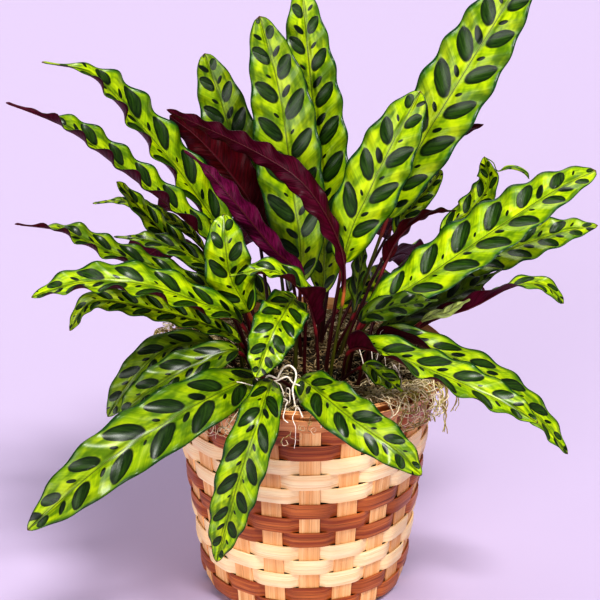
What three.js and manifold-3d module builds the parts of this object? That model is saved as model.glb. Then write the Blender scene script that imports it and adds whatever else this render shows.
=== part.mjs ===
// A potted calathea: long waved leaves in a plastic nursery pot, inside a woven chip basket.
// Millimetres, +Z up. The origin is the middle of the basket's underside, and -Y is the front.

import * as THREE from "three";
import { mergeVertices } from "three/addons/utils/BufferGeometryUtils.js";
import Module from "manifold-3d";

const wasm = await Module();
wasm.setup();

// Basket
const STAKES = 20;
const STAKE_WIDTH = 13;
const STAKE_THICKNESS = 1;
const STAKE_TURN = THREE.MathUtils.degToRad(2.4); // the front stake stands a little right of the middle
const BASE_RADIUS = 65;
const BASE_THICKNESS = 2.2;
const FOOT = [60, 1.6]; // radius and height where the stakes leave the base
const CORNER = [65.6, 2.2];
const WALL_FOOT = [67.3, 5];
const WALL_TOP = [84.3, 146];
const RIM_TOP = [95.5, 160];
const ROWS = "DDLLLDDDLLLDD"; // from the bottom up: dark and light strips
const ROW_PITCH = 10.8;
const ROW_START = 5.3;
const STRIP_HEIGHT = 10.2;
const STRIP_THICKNESS = 1;
const WEAVE_OFFSET = 1.3; // from the middle of a stake to the middle of a strip
const STRIP_FLAT = 14; // how far a strip runs straight over a stake
const RIM_LOW = 4.5; // the rim's reach down the stakes' flare, from the top of the wall
const RIM_CAP = 1.5;
const RIM_GAP = 1.2;
const HOOP_THICKNESS = 2;

// Nursery pot, soil and moss
const GAP = 0.3;
const POT_BOTTOM_RADIUS = 56;
const POT_TOP_RADIUS = 76;
const POT_LIP_RADIUS = 78.5;
const POT_LIP_HEIGHT = 4;
const POT_TOP = 149;
const POT_WALL = 1.3;
const POT_SIDES = 28;
const SOIL_TOP = 146;
const MOSS_INNER = [50, 150.5]; // radius and height of the mat's top: inner edge, crest, outer edge
const MOSS_CREST = [66, 155.5];
const MOSS_OUTER = [82, 152.5];
const MOSS_SIDES = 20;
const MOSS_STRANDS = 12;
const STRAND_STEPS = 4;
const STRAND_ARC = 0.55; // how far round the mat a strand reaches, in radians

// Leaves
const BLADE_THICKNESS = 0.8;
const RIB_DEPTH = 0.5;
const STEM_RADIUS = 1.6;
const STEM_STEPS = 3;
const STEM_IN_SOIL = 8;
const STEM_ABOVE_SOIL = 2;
const STEM_LEAD = 40; // below its foot a stalk's line starts this much lower, so that it rises upright
const HOLE_RADIUS = 2.3;
const HOLE_SIDES = 5;
const TIP_HALF_WIDTH = 0.7;
const WAVE_HEIGHT = 1.6;
const FOLD = 0.15; // how far both halves of a blade rise from flat, in radians
const NO_CUP = [0, 1]; // a cup's extra fold at the blade's base, and the share of the blade it fades over

// Each leaf: half its width in the middle, where its upper face looks at its base and at its tip,
// the number of waves along each margin, where its stalk leaves the soil, and the line of its
// midrib from the stalk's end to the tip. A cup folds both halves of a blade's base further up.
// Leaves of one name grow from one shoot and are one piece.
const LEAVES = [
  { name: "leaf_tall_1", half: 17, face: [[0, -1, 0.2], [0, -1, 0.4]], waves: 7,
    root: [-20, 22], blade: [[-31, 34, 237], [-42, 42, 273], [-52, 50, 309], [-64, 56, 345]] },
  { name: "leaf_tall_2", half: 21, face: [[0, -1, 0.2], [0, -1, 0.4]], waves: 7,
    root: [-6, 8], blade: [[-2, 6, 221], [-8, 14, 270], [-15, 24, 324], [-28, 36, 373]] },
  { name: "leaf_tall_3", half: 20, face: [[0, -1, 0.2], [0, -1, 0.4]], waves: 7,
    root: [8, 26], blade: [[13, 32, 202], [11, 42, 258], [5, 54, 318], [-2, 70, 386]] },
  { name: "leaf_tall_4", half: 22.5, face: [[-0.2, -1, 0.2], [-0.2, -1, 0.5]], waves: 8,
    root: [24, 22], blade: [[54, 26, 244], [73, 34, 287], [99, 42, 331], [144, 52, 406]] },
  { name: "leaf_tall_5", half: 19, face: [[-0.2, -1, 0.2], [-0.1, -1, 0.5]], waves: 7,
    root: [14, -4], blade: [[26, -6, 233], [40, -8, 272], [57, -6, 309], [71, 0, 334]] },
  { name: "leaf_young_1", half: 8, face: [[-0.3, -1, 0.2], [-0.2, -1, 0.5]], waves: 4,
    root: [26, 30], blade: [[60, 44, 227], [71, 50, 243], [82, 54, 255], [91, 56, 267]] },
  { name: "leaf_turned_1", half: 7, face: [[-0.3, 1, 0.2], [-0.2, 0.5, 1]], waves: 5,
    root: [18, 38], blade: [[63, 62, 234], [80, 66, 268], [99, 64, 289], [117, 56, 298]] },
  { name: "leaf_turned_2", half: 9, face: [[-0.2, 0.8, 0.6], [-0.2, 0.5, 1]], waves: 4,
    root: [30, 12], blade: [[53, 24, 214], [65, 30, 234], [82, 34, 244], [99, 32, 247]] },
  { name: "leaf_turned_wide", half: 16, face: [[-0.1, 1, 0.3], [-0.2, 1, 0.5]], waves: 7,
    root: [-2, 20],
    blade: [[-9, 18, 212], [-23, 20, 239], [-44, 22, 271], [-66, 24, 297], [-85, 26, 312]] },
  { name: "leaf_turned_arched", half: 9, face: [[-0.9, 0.3, 0.2], [-0.1, 0.9, 0.5]], waves: 7,
    root: [16, -24],
    blade: [[24, -24, 212], [21, -20, 242], [1, -16, 278], [-29, -8, 298], [-85, 6, 321]] },
  { name: "leaf_turned_waved", half: 9, face: [[-0.3, 0.9, 0.3], [-0.2, 0.9, 0.5]], waves: 7,
    root: [0, -14],
    blade: [[-1, -18, 215], [-20, -20, 240], [-42, -18, 268], [-61, -12, 289], [-74, -8, 299]] },
  { name: "leaf_right_1", half: 21, face: [[-0.4, -0.6, 0.8], [-0.3, -0.5, 0.8]], waves: 8,
    root: [28, -14],
    blade: [[39, -26, 194], [77, -24, 223], [123, -14, 253], [158, -6, 274], [182, 2, 283]] },
  { name: "leaf_right_2", half: 17, face: [[-0.3, -0.6, 0.8], [-0.2, -0.5, 0.9]], waves: 7,
    root: [40, 6],
    blade: [[52, 16, 191], [89, 28, 206], [136, 34, 220], [168, 34, 231], [192, 34, 236]] },
  { name: "leaf_right_3", half: 8, cup: [1, 0.8], face: [[-0.2, 0.2, 1], [0.5, -0.3, 0.8]],
    waves: 6, root: [40, -14],
    blade: [[74, -12, 184], [105, -22, 201], [130, -22, 215], [151, -18, 214], [164, -16, 201]] },
  { name: "leaf_right_4", half: 11, face: [[-0.3, -0.5, 0.9], [-0.2, -0.4, 0.9]], waves: 5,
    root: [42, -4], blade: [[47, 1, 170], [70, 2, 186], [95, 3, 197], [128, 7, 216]] },
  { name: "leaf_right_5", half: 9, face: [[-0.1, -0.7, 0.7], [0.1, -0.5, 0.9]], waves: 4,
    root: [24, -26], blade: [[35, -38, 197], [51, -42, 208], [66, -44, 212], [82, -46, 215]] },
  { name: "leaf_right_6", half: 10, face: [[-0.5, -0.8, 0.3], [-0.5, -0.6, 0.8]], waves: 4,
    root: [28, 24], blade: [[91, 47, 224], [109, 48, 241], [121, 47, 260], [117, 43, 280]] },
  { name: "leaf_rolled", half: 5, face: [[-0.1, -0.7, 0.7], [0.1, -0.5, 0.9]], waves: 2,
    root: [36, -20], blade: [[74, -22, 191], [88, -28, 199], [96, -30, 205], [103, -32, 210]] },
  { name: "leaf_low_right_1", half: 14, cup: [1.1, 0.4], face: [[-0.1, 0, 1], [0.2, -0.8, 0.6]],
    waves: 7, root: [24, -34],
    blade: [[28, -50, 184], [49, -70, 190], [86, -95, 185], [120, -105, 172], [137, -108, 162]] },
  { name: "leaf_low_right_2", half: 13, cup: [1.1, 0.35], face: [[-0.1, 0, 1], [0.3, -0.6, 0.7]],
    waves: 7, root: [34, -28],
    blade: [[46, -30, 185], [77, -46, 184], [112, -52, 169], [143, -54, 143], [166, -54, 114]] },
  { name: "leaf_small_front", half: 8, face: [[0, -0.4, 0.9], [0.1, -0.5, 0.8]], waves: 3,
    root: [18, -40], blade: [[36, -52, 174], [48, -68, 173], [59, -84, 171]] },
  { name: "leaf_left_1", half: 16, fold: 0.3, face: [[0.3, -0.7, 0.7], [0.2, -0.5, 0.9]], waves: 7,
    root: [-26, 10],
    blade: [[-44, 18, 216], [-70, 16, 265], [-101, 10, 309], [-129, 0, 344], [-158, -8, 354]] },
  { name: "leaf_left_2", half: 12, fold: 0.5, face: [[0.3, -0.1, 1], [0.1, -0.2, 1]], waves: 7,
    root: [-30, 0],
    blade: [[-46, -4, 218], [-74, -10, 255], [-113, -16, 291], [-144, -20, 317], [-179, -20, 332]] },
  { name: "leaf_left_3", half: 10, face: [[0.2, -0.6, 0.8], [0.1, -0.5, 0.9]], waves: 7,
    root: [-32, -12],
    blade: [[-52, -18, 204], [-90, -26, 227], [-121, -34, 243], [-146, -38, 257], [-175, -40, 262]] },
  { name: "leaf_left_4", half: 13, face: [[0.1, -0.7, 0.7], [0, -0.6, 0.8]], waves: 7,
    root: [-26, -24],
    blade: [[-39, -38, 197], [-64, -50, 215], [-98, -62, 232], [-133, -68, 235], [-162, -72, 227]] },
  { name: "leaf_left_5", half: 9, face: [[0.1, -0.6, 0.8], [-0.3, -0.6, 0.7]], waves: 6,
    root: [-34, -20],
    blade: [[-40, -34, 182], [-64, -42, 199], [-100, -50, 213], [-129, -54, 217], [-143, -56, 199]] },
  { name: "leaf_left_6", half: 9, face: [[0.3, -0.6, 0.8], [0.2, -0.5, 0.9]], waves: 5,
    root: [-38, 4], blade: [[-54, 4, 206], [-80, 4, 231], [-102, 2, 257], [-117, -2, 277]] },
  { name: "leaf_left_7", half: 8, face: [[0.2, -0.6, 0.8], [0.1, -0.5, 0.9]], waves: 5,
    root: [-40, -6], blade: [[-48, -8, 208], [-72, -12, 232], [-96, -16, 243], [-118, -20, 247]] },
  { name: "leaf_young_2", half: 5, face: [[0.2, -0.6, 0.8], [0.1, -0.5, 0.9]], waves: 4,
    root: [-36, 18], blade: [[-65, 26, 222], [-93, 24, 247], [-115, 20, 257], [-135, 16, 257]] },
  { name: "leaf_middle_1", half: 15, face: [[0.1, -1, 0.2], [0, -0.8, 0.7]], waves: 4,
    root: [-20, -12], blade: [[-35, -26, 199], [-45, -34, 224], [-48, -40, 249], [-49, -30, 265]] },
  { name: "leaf_middle_2", half: 9, cup: [1, 0.7], face: [[0.3, 0.1, 0.8], [0, -0.5, 0.8]], waves: 5,
    root: [9, -38], blade: [[7, -44, 198], [-1, -50, 222], [-20, -56, 238], [-45, -60, 236]] },
  { name: "leaf_middle_3", half: 8, face: [[-0.9, -0.4, 0.2], [-0.8, -0.6, 0.4]], waves: 3,
    root: [18, 10], blade: [[32, 6, 186], [35, 8, 209], [40, 10, 234]] },
  { name: "leaf_front_1", half: 18.5, face: [[0.3, -0.6, 0.8], [0.2, -0.7, 0.7]], waves: 7,
    root: [-14, -36],
    blade: [[-27, -57, 168], [-55, -95, 173], [-89, -124, 164], [-119, -145, 150], [-157, -160, 120]] },
  { name: "leaf_front_2", half: 14, face: [[0, -0.8, 0.6], [0, -1, 0.2]], waves: 7,
    root: [-6, -42], blade: [[-19, -66, 170], [-27, -106, 163], [-39, -118, 129], [-53, -116, 73]] },
  { name: "leaf_front_3", half: 14.5, face: [[-0.1, -0.7, 0.7], [-0.1, -0.8, 0.6]], waves: 7,
    root: [4, -42],
    blade: [[-3, -58, 168], [10, -90, 172], [28, -112, 166], [53, -124, 152], [68, -128, 138]] },
  { name: "leaf_front_4", half: 15, face: [[0.2, -0.5, 0.8], [0.1, -0.9, 0.4]], waves: 4,
    root: [-6, -26], blade: [[-5, -30, 207], [-14, -60, 209], [-21, -76, 200], [-29, -84, 180]] },
  { name: "leaf_low_left_1", half: 12, face: [[0.2, -0.6, 0.8], [0.1, -0.7, 0.6]], waves: 5,
    root: [-40, -18], blade: [[-57, -20, 175], [-87, -38, 178], [-107, -48, 162], [-123, -52, 139]] },
  { name: "leaf_low_left_2", half: 13, face: [[0.2, -0.6, 0.8], [0.1, -0.7, 0.6]], waves: 5,
    root: [-30, -34], blade: [[-41, -44, 180], [-72, -60, 175], [-95, -70, 164], [-113, -76, 150]] },
  { name: "leaves_back_1", half: 16, face: [[-0.3, 0.5, 0.8], [-0.3, 0.7, 0.7]], waves: 5,
    root: [10, 42], blade: [[15, 60, 184], [30, 92, 210], [50, 125, 207], [66, 150, 182]] },
  { name: "leaves_back_1", half: 14, face: [[-0.3, 0.5, 0.8], [-0.2, 0.7, 0.7]], waves: 5,
    root: [11.5, 41], blade: [[20, 50, 215], [28, 74, 244], [34, 100, 250], [38, 124, 238]] },
  { name: "leaves_back_1", half: 14, face: [[-0.2, -0.5, 0.8], [0.2, -0.4, 0.8]], waves: 4,
    root: [11.5, 43], blade: [[23, 54, 169], [43, 66, 180], [66, 79, 175], [88, 90, 157]] },
  { name: "leaves_back_2", half: 17, face: [[0.2, 0.5, 0.8], [0.2, 0.7, 0.7]], waves: 5,
    root: [-12, 40], blade: [[-10, 60, 180], [-20, 94, 208], [-36, 128, 203], [-50, 155, 172]] },
  { name: "leaves_back_2", half: 15, face: [[0.1, 0.5, 0.8], [0.1, 0.7, 0.7]], waves: 5,
    root: [-10.5, 41], blade: [[-18, 52, 225], [-20, 80, 257], [-16, 108, 264], [-10, 134, 252]] },
  { name: "leaves_back_2", half: 14, face: [[0.2, -0.5, 0.8], [-0.2, -0.4, 0.8]], waves: 4,
    root: [-11.5, 42], blade: [[-24, 54, 173], [-46, 67, 187], [-70, 78, 180], [-92, 85, 158]] },
  { name: "leaves_back_3", half: 15, face: [[-0.5, 0.3, 0.8], [-0.5, 0.4, 0.7]], waves: 5,
    root: [34, 31], blade: [[58, 48, 195], [88, 68, 205], [112, 85, 190], [128, 98, 165]] },
  { name: "leaves_back_3", half: 14, face: [[-0.4, 0.5, 0.8], [-0.4, 0.6, 0.7]], waves: 5,
    root: [33, 32], blade: [[46, 58, 190], [64, 84, 198], [78, 108, 186], [88, 126, 162]] },
  { name: "leaves_back_4", half: 16, face: [[0.5, 0.3, 0.8], [0.5, 0.4, 0.7]], waves: 5,
    root: [-32, 34], blade: [[-55, 52, 195], [-86, 75, 208], [-112, 92, 192], [-128, 104, 162]] },
  { name: "leaves_back_4", half: 14, face: [[0.4, 0.4, 0.8], [0.4, 0.5, 0.7]], waves: 5,
    root: [-33, 32.5], blade: [[-50, 44, 214], [-70, 58, 234], [-88, 70, 238], [-104, 80, 228]] },
];

const LIGHT_CHIP = new THREE.MeshStandardMaterial({ color: 0xe2bd86, roughness: 0.55 });
const DARK_CHIP = new THREE.MeshStandardMaterial({ color: 0x8a4a2a, roughness: 0.45 });
const STAKE_CHIP = new THREE.MeshStandardMaterial({ color: 0xd09a62, roughness: 0.55 });
const POT_PLASTIC = new THREE.MeshStandardMaterial({ color: 0x1c1c1e, roughness: 0.5 });
const SOIL_EARTH = new THREE.MeshStandardMaterial({ color: 0x2e221a, roughness: 0.95 });
const MOSS_FIBRE = new THREE.MeshStandardMaterial({ color: 0x8b8461, roughness: 0.95 });
const LEAF_GREEN = new THREE.MeshStandardMaterial({ color: 0x7cab1f, roughness: 0.35 });
const LEAF_PURPLE = new THREE.MeshStandardMaterial({ color: 0x5a1238, roughness: 0.4 });

const plant = new THREE.Group();

function addMesh(name, geometry, material) {
  const mesh = new THREE.Mesh(geometry, material);
  mesh.name = name;
  plant.add(mesh);
}

function fromVertices(vertices, triangles) {
  const geometry = new THREE.BufferGeometry();
  geometry.setAttribute("position", new THREE.Float32BufferAttribute(vertices.flat(), 3));
  geometry.setIndex(triangles.flat());
  return geometry;
}

function toSolid(geometry) {
  const bare = geometry.clone();
  bare.deleteAttribute("normal");
  bare.deleteAttribute("uv");
  const merged = mergeVertices(bare, 1e-4);
  const vertProperties = new Float32Array(merged.attributes.position.array);
  const triVerts = new Uint32Array(merged.index.array);
  return new wasm.Manifold(new wasm.Mesh({ numProp: 3, vertProperties, triVerts }));
}

function fromSolid(solid) {
  const mesh = solid.getMesh();
  const geometry = new THREE.BufferGeometry();
  geometry.setAttribute("position", new THREE.Float32BufferAttribute(mesh.vertProperties, 3));
  geometry.setIndex([...mesh.triVerts]);
  return geometry;
}

// A closed loft through rings of equally many points, which run counterclockwise when seen from
// the end that the rings run towards. The diagonals on both faces of a six-point ring are alike,
// so that a thin waved blade's faces stay parallel.
function loft(rings) {
  const count = rings[0].length;
  const triangles = [];
  for (let i = 0; i < rings.length - 1; i++) {
    for (let k = 0; k < count; k++) {
      const a = i * count + k;
      const b = i * count + ((k + 1) % count);
      const c = a + count;
      const d = b + count;
      if (k % 3 === 0 || k === 5) {
        triangles.push([a, b, d], [a, d, c]);
      } else {
        triangles.push([a, b, c], [b, d, c]);
      }
    }
  }
  const last = (rings.length - 1) * count;
  for (let k = 1; k < count - 1; k++) {
    triangles.push([0, k + 1, k], [last, last + k, last + k + 1]);
  }
  return fromVertices(rings.flat(), triangles);
}

// The basket's wall: the radius of the middle of the stakes at a height
function wallRadius(z) {
  const share = (z - WALL_FOOT[1]) / (WALL_TOP[1] - WALL_FOOT[1]);
  return THREE.MathUtils.lerp(WALL_FOOT[0], WALL_TOP[0], share);
}

function stakeAngle(index) {
  return -Math.PI / 2 + STAKE_TURN + (2 * Math.PI * index) / STAKES;
}

// A point beside a stake: outwards from the axis, sideways along the wall, and up
function beside(angle, out, side, z) {
  return [
    Math.cos(angle) * out - Math.sin(angle) * side,
    Math.sin(angle) * out + Math.cos(angle) * side,
    z,
  ];
}

function stake(angle) {
  const line = [FOOT, CORNER, WALL_FOOT, WALL_TOP, RIM_TOP];
  const half = STAKE_WIDTH / 2;
  const rings = line.map(([r, z], i) => {
    const before = line[Math.max(i - 1, 0)];
    const after = line[Math.min(i + 1, line.length - 1)];
    const along = new THREE.Vector2(after[0] - before[0], after[1] - before[1]).normalize();
    const dr = (along.y * STAKE_THICKNESS) / 2;
    const dz = (-along.x * STAKE_THICKNESS) / 2;
    return [
      beside(angle, r - dr, -half, z - dz),
      beside(angle, r + dr, -half, z + dz),
      beside(angle, r + dr, half, z + dz),
      beside(angle, r - dr, half, z - dz),
    ];
  });
  return loft(rings);
}

function basketStakes() {
  const disc = new THREE.CylinderGeometry(BASE_RADIUS, BASE_RADIUS, BASE_THICKNESS, 2 * STAKES);
  disc.rotateX(Math.PI / 2);
  disc.translate(0, 0, BASE_THICKNESS / 2);
  let cage = toSolid(disc);
  for (let i = 0; i < STAKES; i++) {
    cage = cage.add(toSolid(stake(stakeAngle(i))));
  }
  return fromSolid(cage);
}

// A strip that passes over and under the stakes in turn, as a ring with a four-sided section
function weaver(row) {
  const low = ROW_START + ROW_PITCH * row;
  const high = low + STRIP_HEIGHT;
  const vertices = [];
  const triangles = [];
  for (let i = 0; i < STAKES; i++) {
    const over = (i + row) % 2 === 1 ? 1 : -1;
    for (const side of [-STRIP_FLAT / 2, STRIP_FLAT / 2]) {
      for (const [face, z] of [[-1, low], [1, low], [1, high], [-1, high]]) {
        const out = wallRadius(z) + over * WEAVE_OFFSET + (face * STRIP_THICKNESS) / 2;
        vertices.push(beside(stakeAngle(i), out, side, z));
      }
    }
  }
  const turns = 2 * STAKES;
  for (let i = 0; i < turns; i++) {
    const next = ((i + 1) % turns) * 4;
    for (let k = 0; k < 4; k++) {
      const a = i * 4 + k;
      const b = i * 4 + ((k + 1) % 4);
      const c = next + k;
      const d = next + ((k + 1) % 4);
      triangles.push([a, d, b], [a, c, d]);
    }
  }
  return fromVertices(vertices, triangles);
}

// The rim: a bent strip that caps the flared stake ends and reaches down both sides of them
function basketRim() {
  const start = new THREE.Vector2(...WALL_TOP);
  const end = new THREE.Vector2(...RIM_TOP);
  const length = end.distanceTo(start);
  const along = end.clone().sub(start).normalize();
  const out = new THREE.Vector2(along.y, -along.x);
  const spot = (distance, offset) => (
    start.clone().addScaledVector(along, distance).addScaledVector(out, offset)
  );
  const outer = RIM_GAP + HOOP_THICKNESS;
  const outline = [
    spot(RIM_LOW, outer),
    spot(length + RIM_CAP, outer),
    spot(length + RIM_CAP, -outer),
    spot(RIM_LOW, -outer),
    spot(RIM_LOW, -RIM_GAP),
    spot(length + 2 * GAP, -RIM_GAP),
    spot(length + 2 * GAP, RIM_GAP),
    spot(RIM_LOW, RIM_GAP),
    spot(RIM_LOW, outer),
  ];
  return turned(outline, 2 * STAKES, STAKE_TURN);
}

// A lathe shape about Z from a closed outline of radius and height
function turned(outline, segments, turn = 0) {
  const geometry = new THREE.LatheGeometry(outline, segments);
  geometry.rotateX(Math.PI / 2);
  geometry.rotateZ(turn);
  return geometry;
}

function point(radius, height) {
  return new THREE.Vector2(radius, height);
}

function potInside(z) {
  const share = (z - BASE_THICKNESS) / (POT_TOP - BASE_THICKNESS);
  return THREE.MathUtils.lerp(POT_BOTTOM_RADIUS, POT_TOP_RADIUS, share) - POT_WALL;
}

function nurseryPot() {
  const bottom = BASE_THICKNESS + GAP;
  const floor = bottom + POT_WALL;
  return turned([
    point(0, bottom),
    point(POT_BOTTOM_RADIUS, bottom),
    point(potInside(POT_TOP - POT_LIP_HEIGHT) + POT_WALL, POT_TOP - POT_LIP_HEIGHT),
    point(POT_LIP_RADIUS, POT_TOP - POT_LIP_HEIGHT),
    point(POT_LIP_RADIUS, POT_TOP),
    point(potInside(POT_TOP), POT_TOP),
    point(potInside(floor), floor),
    point(0, floor),
  ], POT_SIDES);
}

function soil() {
  const bottom = BASE_THICKNESS + POT_WALL + 2 * GAP;
  const rounded = turned([
    point(0, bottom),
    point(potInside(bottom) - 2 * GAP, bottom),
    point(potInside(SOIL_TOP) - 2 * GAP, SOIL_TOP),
    point(0, SOIL_TOP),
  ], POT_SIDES);
  let earth = toSolid(rounded);
  const depth = STEM_IN_SOIL + GAP;
  for (const leaf of LEAVES) {
    const hole = new THREE.CylinderGeometry(HOLE_RADIUS, HOLE_RADIUS, 2 * depth, HOLE_SIDES);
    hole.rotateX(Math.PI / 2);
    hole.translate(leaf.root[0], leaf.root[1], SOIL_TOP);
    earth = earth.subtract(toSolid(hole));
  }
  return fromSolid(earth);
}

// A mat of moss round the crown, with curled strands sunk into its top
function mossHeight(radius) {
  const isInside = radius < MOSS_CREST[0];
  const from = isInside ? MOSS_INNER : MOSS_CREST;
  const to = isInside ? MOSS_CREST : MOSS_OUTER;
  return THREE.MathUtils.mapLinear(radius, from[0], to[0], from[1], to[1]);
}

function mossStrand(index) {
  const start = 2.4 * index;
  const middle = 64 + 8 * Math.sin(1.7 * index);
  const swing = 6 + 2 * Math.cos(2.3 * index);
  const points = [];
  for (let i = 0; i <= STRAND_STEPS; i++) {
    const share = i / STRAND_STEPS;
    const angle = start + STRAND_ARC * share;
    const radius = middle + swing * Math.sin(Math.PI * (2 * share + 0.3 * index));
    const lift = 1.2 * Math.sin(Math.PI * share) - 0.2;
    points.push(new THREE.Vector3(
      radius * Math.cos(angle), radius * Math.sin(angle), mossHeight(radius) + lift,
    ));
  }
  const section = new THREE.Shape([point(-0.8, -0.7), point(0.8, -0.7), point(0, 0.9)]);
  const path = new THREE.CatmullRomCurve3(points);
  return new THREE.ExtrudeGeometry(section, { steps: STRAND_STEPS, extrudePath: path });
}

function moss() {
  const inPot = potInside(SOIL_TOP) - 1;
  const mat = turned([
    point(MOSS_INNER[0], SOIL_TOP + GAP),
    point(inPot, SOIL_TOP + GAP),
    point(inPot + 1, POT_TOP + GAP),
    point(MOSS_OUTER[0], POT_TOP + 2 * GAP),
    point(...MOSS_OUTER),
    point(...MOSS_CREST),
    point(...MOSS_INNER),
    point(MOSS_INNER[0], SOIL_TOP + GAP),
  ], MOSS_SIDES);
  let tangle = toSolid(mat);
  for (let i = 0; i < MOSS_STRANDS; i++) {
    tangle = tangle.add(toSolid(mossStrand(i)));
  }
  return fromSolid(tangle);
}

// Settings along a spine, evenly spaced, from one of its points to another
function evenSettings(spine, from, to, steps) {
  const fine = 80;
  const last = spine.points.length - 1;
  const settings = [];
  const lengths = [];
  let travelled = 0;
  let before = null;
  for (let i = 0; i <= fine; i++) {
    const setting = (from + ((to - from) * i) / fine) / last;
    const here = spine.getPoint(setting);
    travelled += before ? here.distanceTo(before) : 0;
    settings.push(setting);
    lengths.push(travelled);
    before = here;
  }
  const even = [];
  let j = 1;
  for (let i = 0; i <= steps; i++) {
    const wanted = (travelled * i) / steps;
    while (j < fine && lengths[j] < wanted) {
      j += 1;
    }
    const share = (wanted - lengths[j - 1]) / (lengths[j] - lengths[j - 1]);
    even.push(THREE.MathUtils.lerp(settings[j - 1], settings[j], share));
  }
  return even;
}

function across(vector, along) {
  return vector.clone().addScaledVector(along, -vector.dot(along)).normalize();
}

function directionAt(spine, setting) {
  const step = 1e-3 / (spine.points.length - 1);
  const ahead = spine.getPoint(Math.min(setting + step, 1));
  return ahead.sub(spine.getPoint(Math.max(setting - step, 0))).normalize();
}

// How wide a blade is at a share of its length: pointed at both ends and full between
function bladeWidth(share) {
  return Math.sin(Math.PI * share ** 0.95) ** 0.5;
}

function stemRing(centre, along, up) {
  const side = along.clone().cross(up);
  return [150, 90, 30, -30, -90, -150].map((degrees) => {
    const angle = THREE.MathUtils.degToRad(degrees);
    return centre.clone()
      .addScaledVector(side, STEM_RADIUS * Math.cos(angle))
      .addScaledVector(up, STEM_RADIUS * Math.sin(angle))
      .toArray();
  });
}

// One ring of a blade: left margin, rib and right margin on the upper face, then back on the lower
function bladeRing(leaf, centre, along, up, share, wave) {
  const side = along.clone().cross(up);
  const isTip = share === 1;
  const half = isTip ? TIP_HALF_WIDTH : Math.max(leaf.half * bladeWidth(share), STEM_RADIUS);
  const [cup, reach] = leaf.cup ?? NO_CUP;
  const fold = (leaf.fold ?? FOLD) + cup * (1 - THREE.MathUtils.smoothstep(share, 0, reach));
  const lift = isTip ? 0 : WAVE_HEIGHT * Math.min(1, (1.2 * half) / leaf.half) * wave;
  const rows = [-1, 0, 1].map((t) => (
    centre.clone()
      .addScaledVector(side, t * half * Math.cos(fold))
      .addScaledVector(up, Math.abs(t) * half * Math.sin(fold) - t * lift)
  ));
  const upper = rows.map((p) => p.clone().addScaledVector(up, BLADE_THICKNESS / 2));
  const lower = rows.map((p) => p.clone().addScaledVector(up, -BLADE_THICKNESS / 2));
  lower[1].addScaledVector(up, -RIB_DEPTH);
  return [...upper, ...lower.reverse()].map((p) => p.toArray());
}

function leafBlade(leaf) {
  const foot = new THREE.Vector3(leaf.root[0], leaf.root[1], SOIL_TOP + STEM_ABOVE_SOIL);
  const below = foot.clone().setZ(foot.z - STEM_LEAD);
  const blade = leaf.blade.map((p) => new THREE.Vector3(...p));
  const spine = new THREE.CatmullRomCurve3([below, foot, ...blade], false, "catmullrom", 0.5);
  const steps = 2 * leaf.waves;
  const faces = leaf.face.map((p) => new THREE.Vector3(...p));
  const rings = [];
  const settings = evenSettings(spine, 2, spine.points.length - 1, steps);
  for (let i = 1; i <= steps; i++) {
    const share = i / steps;
    const along = directionAt(spine, settings[i]);
    const up = across(faces[0].clone().lerp(faces[1], share), along);
    const wave = i % 2 === 0 ? 1 : -1;
    rings.push(bladeRing(leaf, spine.getPoint(settings[i]), along, up, share, wave));
  }
  let up = across(faces[0], directionAt(spine, settings[0]));
  for (const setting of evenSettings(spine, 1, 2, STEM_STEPS).reverse()) {
    const along = directionAt(spine, setting);
    up = across(up, along);
    rings.unshift(stemRing(spine.getPoint(setting), along, up));
  }
  const upright = new THREE.Vector3(0, 0, 1);
  const end = foot.clone().setZ(SOIL_TOP - STEM_IN_SOIL);
  rings.unshift(stemRing(end, upright, across(up, upright)));
  return loft(rings);
}

function shoot(name) {
  const blades = LEAVES.filter((leaf) => leaf.name === name).map(leafBlade);
  if (blades.length === 1) {
    return blades[0];
  }
  return fromSolid(blades.map(toSolid).reduce((joined, blade) => joined.add(blade)));
}

addMesh("basket_stakes", basketStakes(), STAKE_CHIP);
[...ROWS].forEach((shade, row) => {
  addMesh(`basket_strip_${row + 1}`, weaver(row), shade === "D" ? DARK_CHIP : LIGHT_CHIP);
});
addMesh("basket_rim", basketRim(), LIGHT_CHIP);
addMesh("nursery_pot", nurseryPot(), POT_PLASTIC);
addMesh("soil", soil(), SOIL_EARTH);
addMesh("moss", moss(), MOSS_FIBRE);
for (const name of new Set(LEAVES.map((leaf) => leaf.name))) {
  addMesh(name, shoot(name), name.includes("turned") ? LEAF_PURPLE : LEAF_GREEN);
}

export default plant;
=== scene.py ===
"""The looks of a potted calathea in a woven chip basket, over its fixed model.

Lengths are in millimetres until a mesh is made, which is in metres.
"""

from math import atan, cos, exp, pi, radians, sin, sqrt, tanh

import bpy
import numpy as np
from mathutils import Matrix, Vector


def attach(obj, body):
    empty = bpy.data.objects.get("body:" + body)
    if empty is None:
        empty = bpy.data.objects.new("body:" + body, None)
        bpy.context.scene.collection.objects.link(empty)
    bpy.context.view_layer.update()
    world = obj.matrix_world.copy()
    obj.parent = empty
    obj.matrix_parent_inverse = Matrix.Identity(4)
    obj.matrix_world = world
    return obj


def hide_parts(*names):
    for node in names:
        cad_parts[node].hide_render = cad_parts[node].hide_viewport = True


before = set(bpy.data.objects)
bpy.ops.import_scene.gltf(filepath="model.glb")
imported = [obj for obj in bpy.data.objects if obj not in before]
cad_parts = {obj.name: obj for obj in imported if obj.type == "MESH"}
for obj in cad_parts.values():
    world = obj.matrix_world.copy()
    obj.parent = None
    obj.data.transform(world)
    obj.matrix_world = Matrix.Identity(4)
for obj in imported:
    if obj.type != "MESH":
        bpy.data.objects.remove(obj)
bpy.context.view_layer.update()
MM = 0.001
FULL_TURN = 2 * pi

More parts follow.
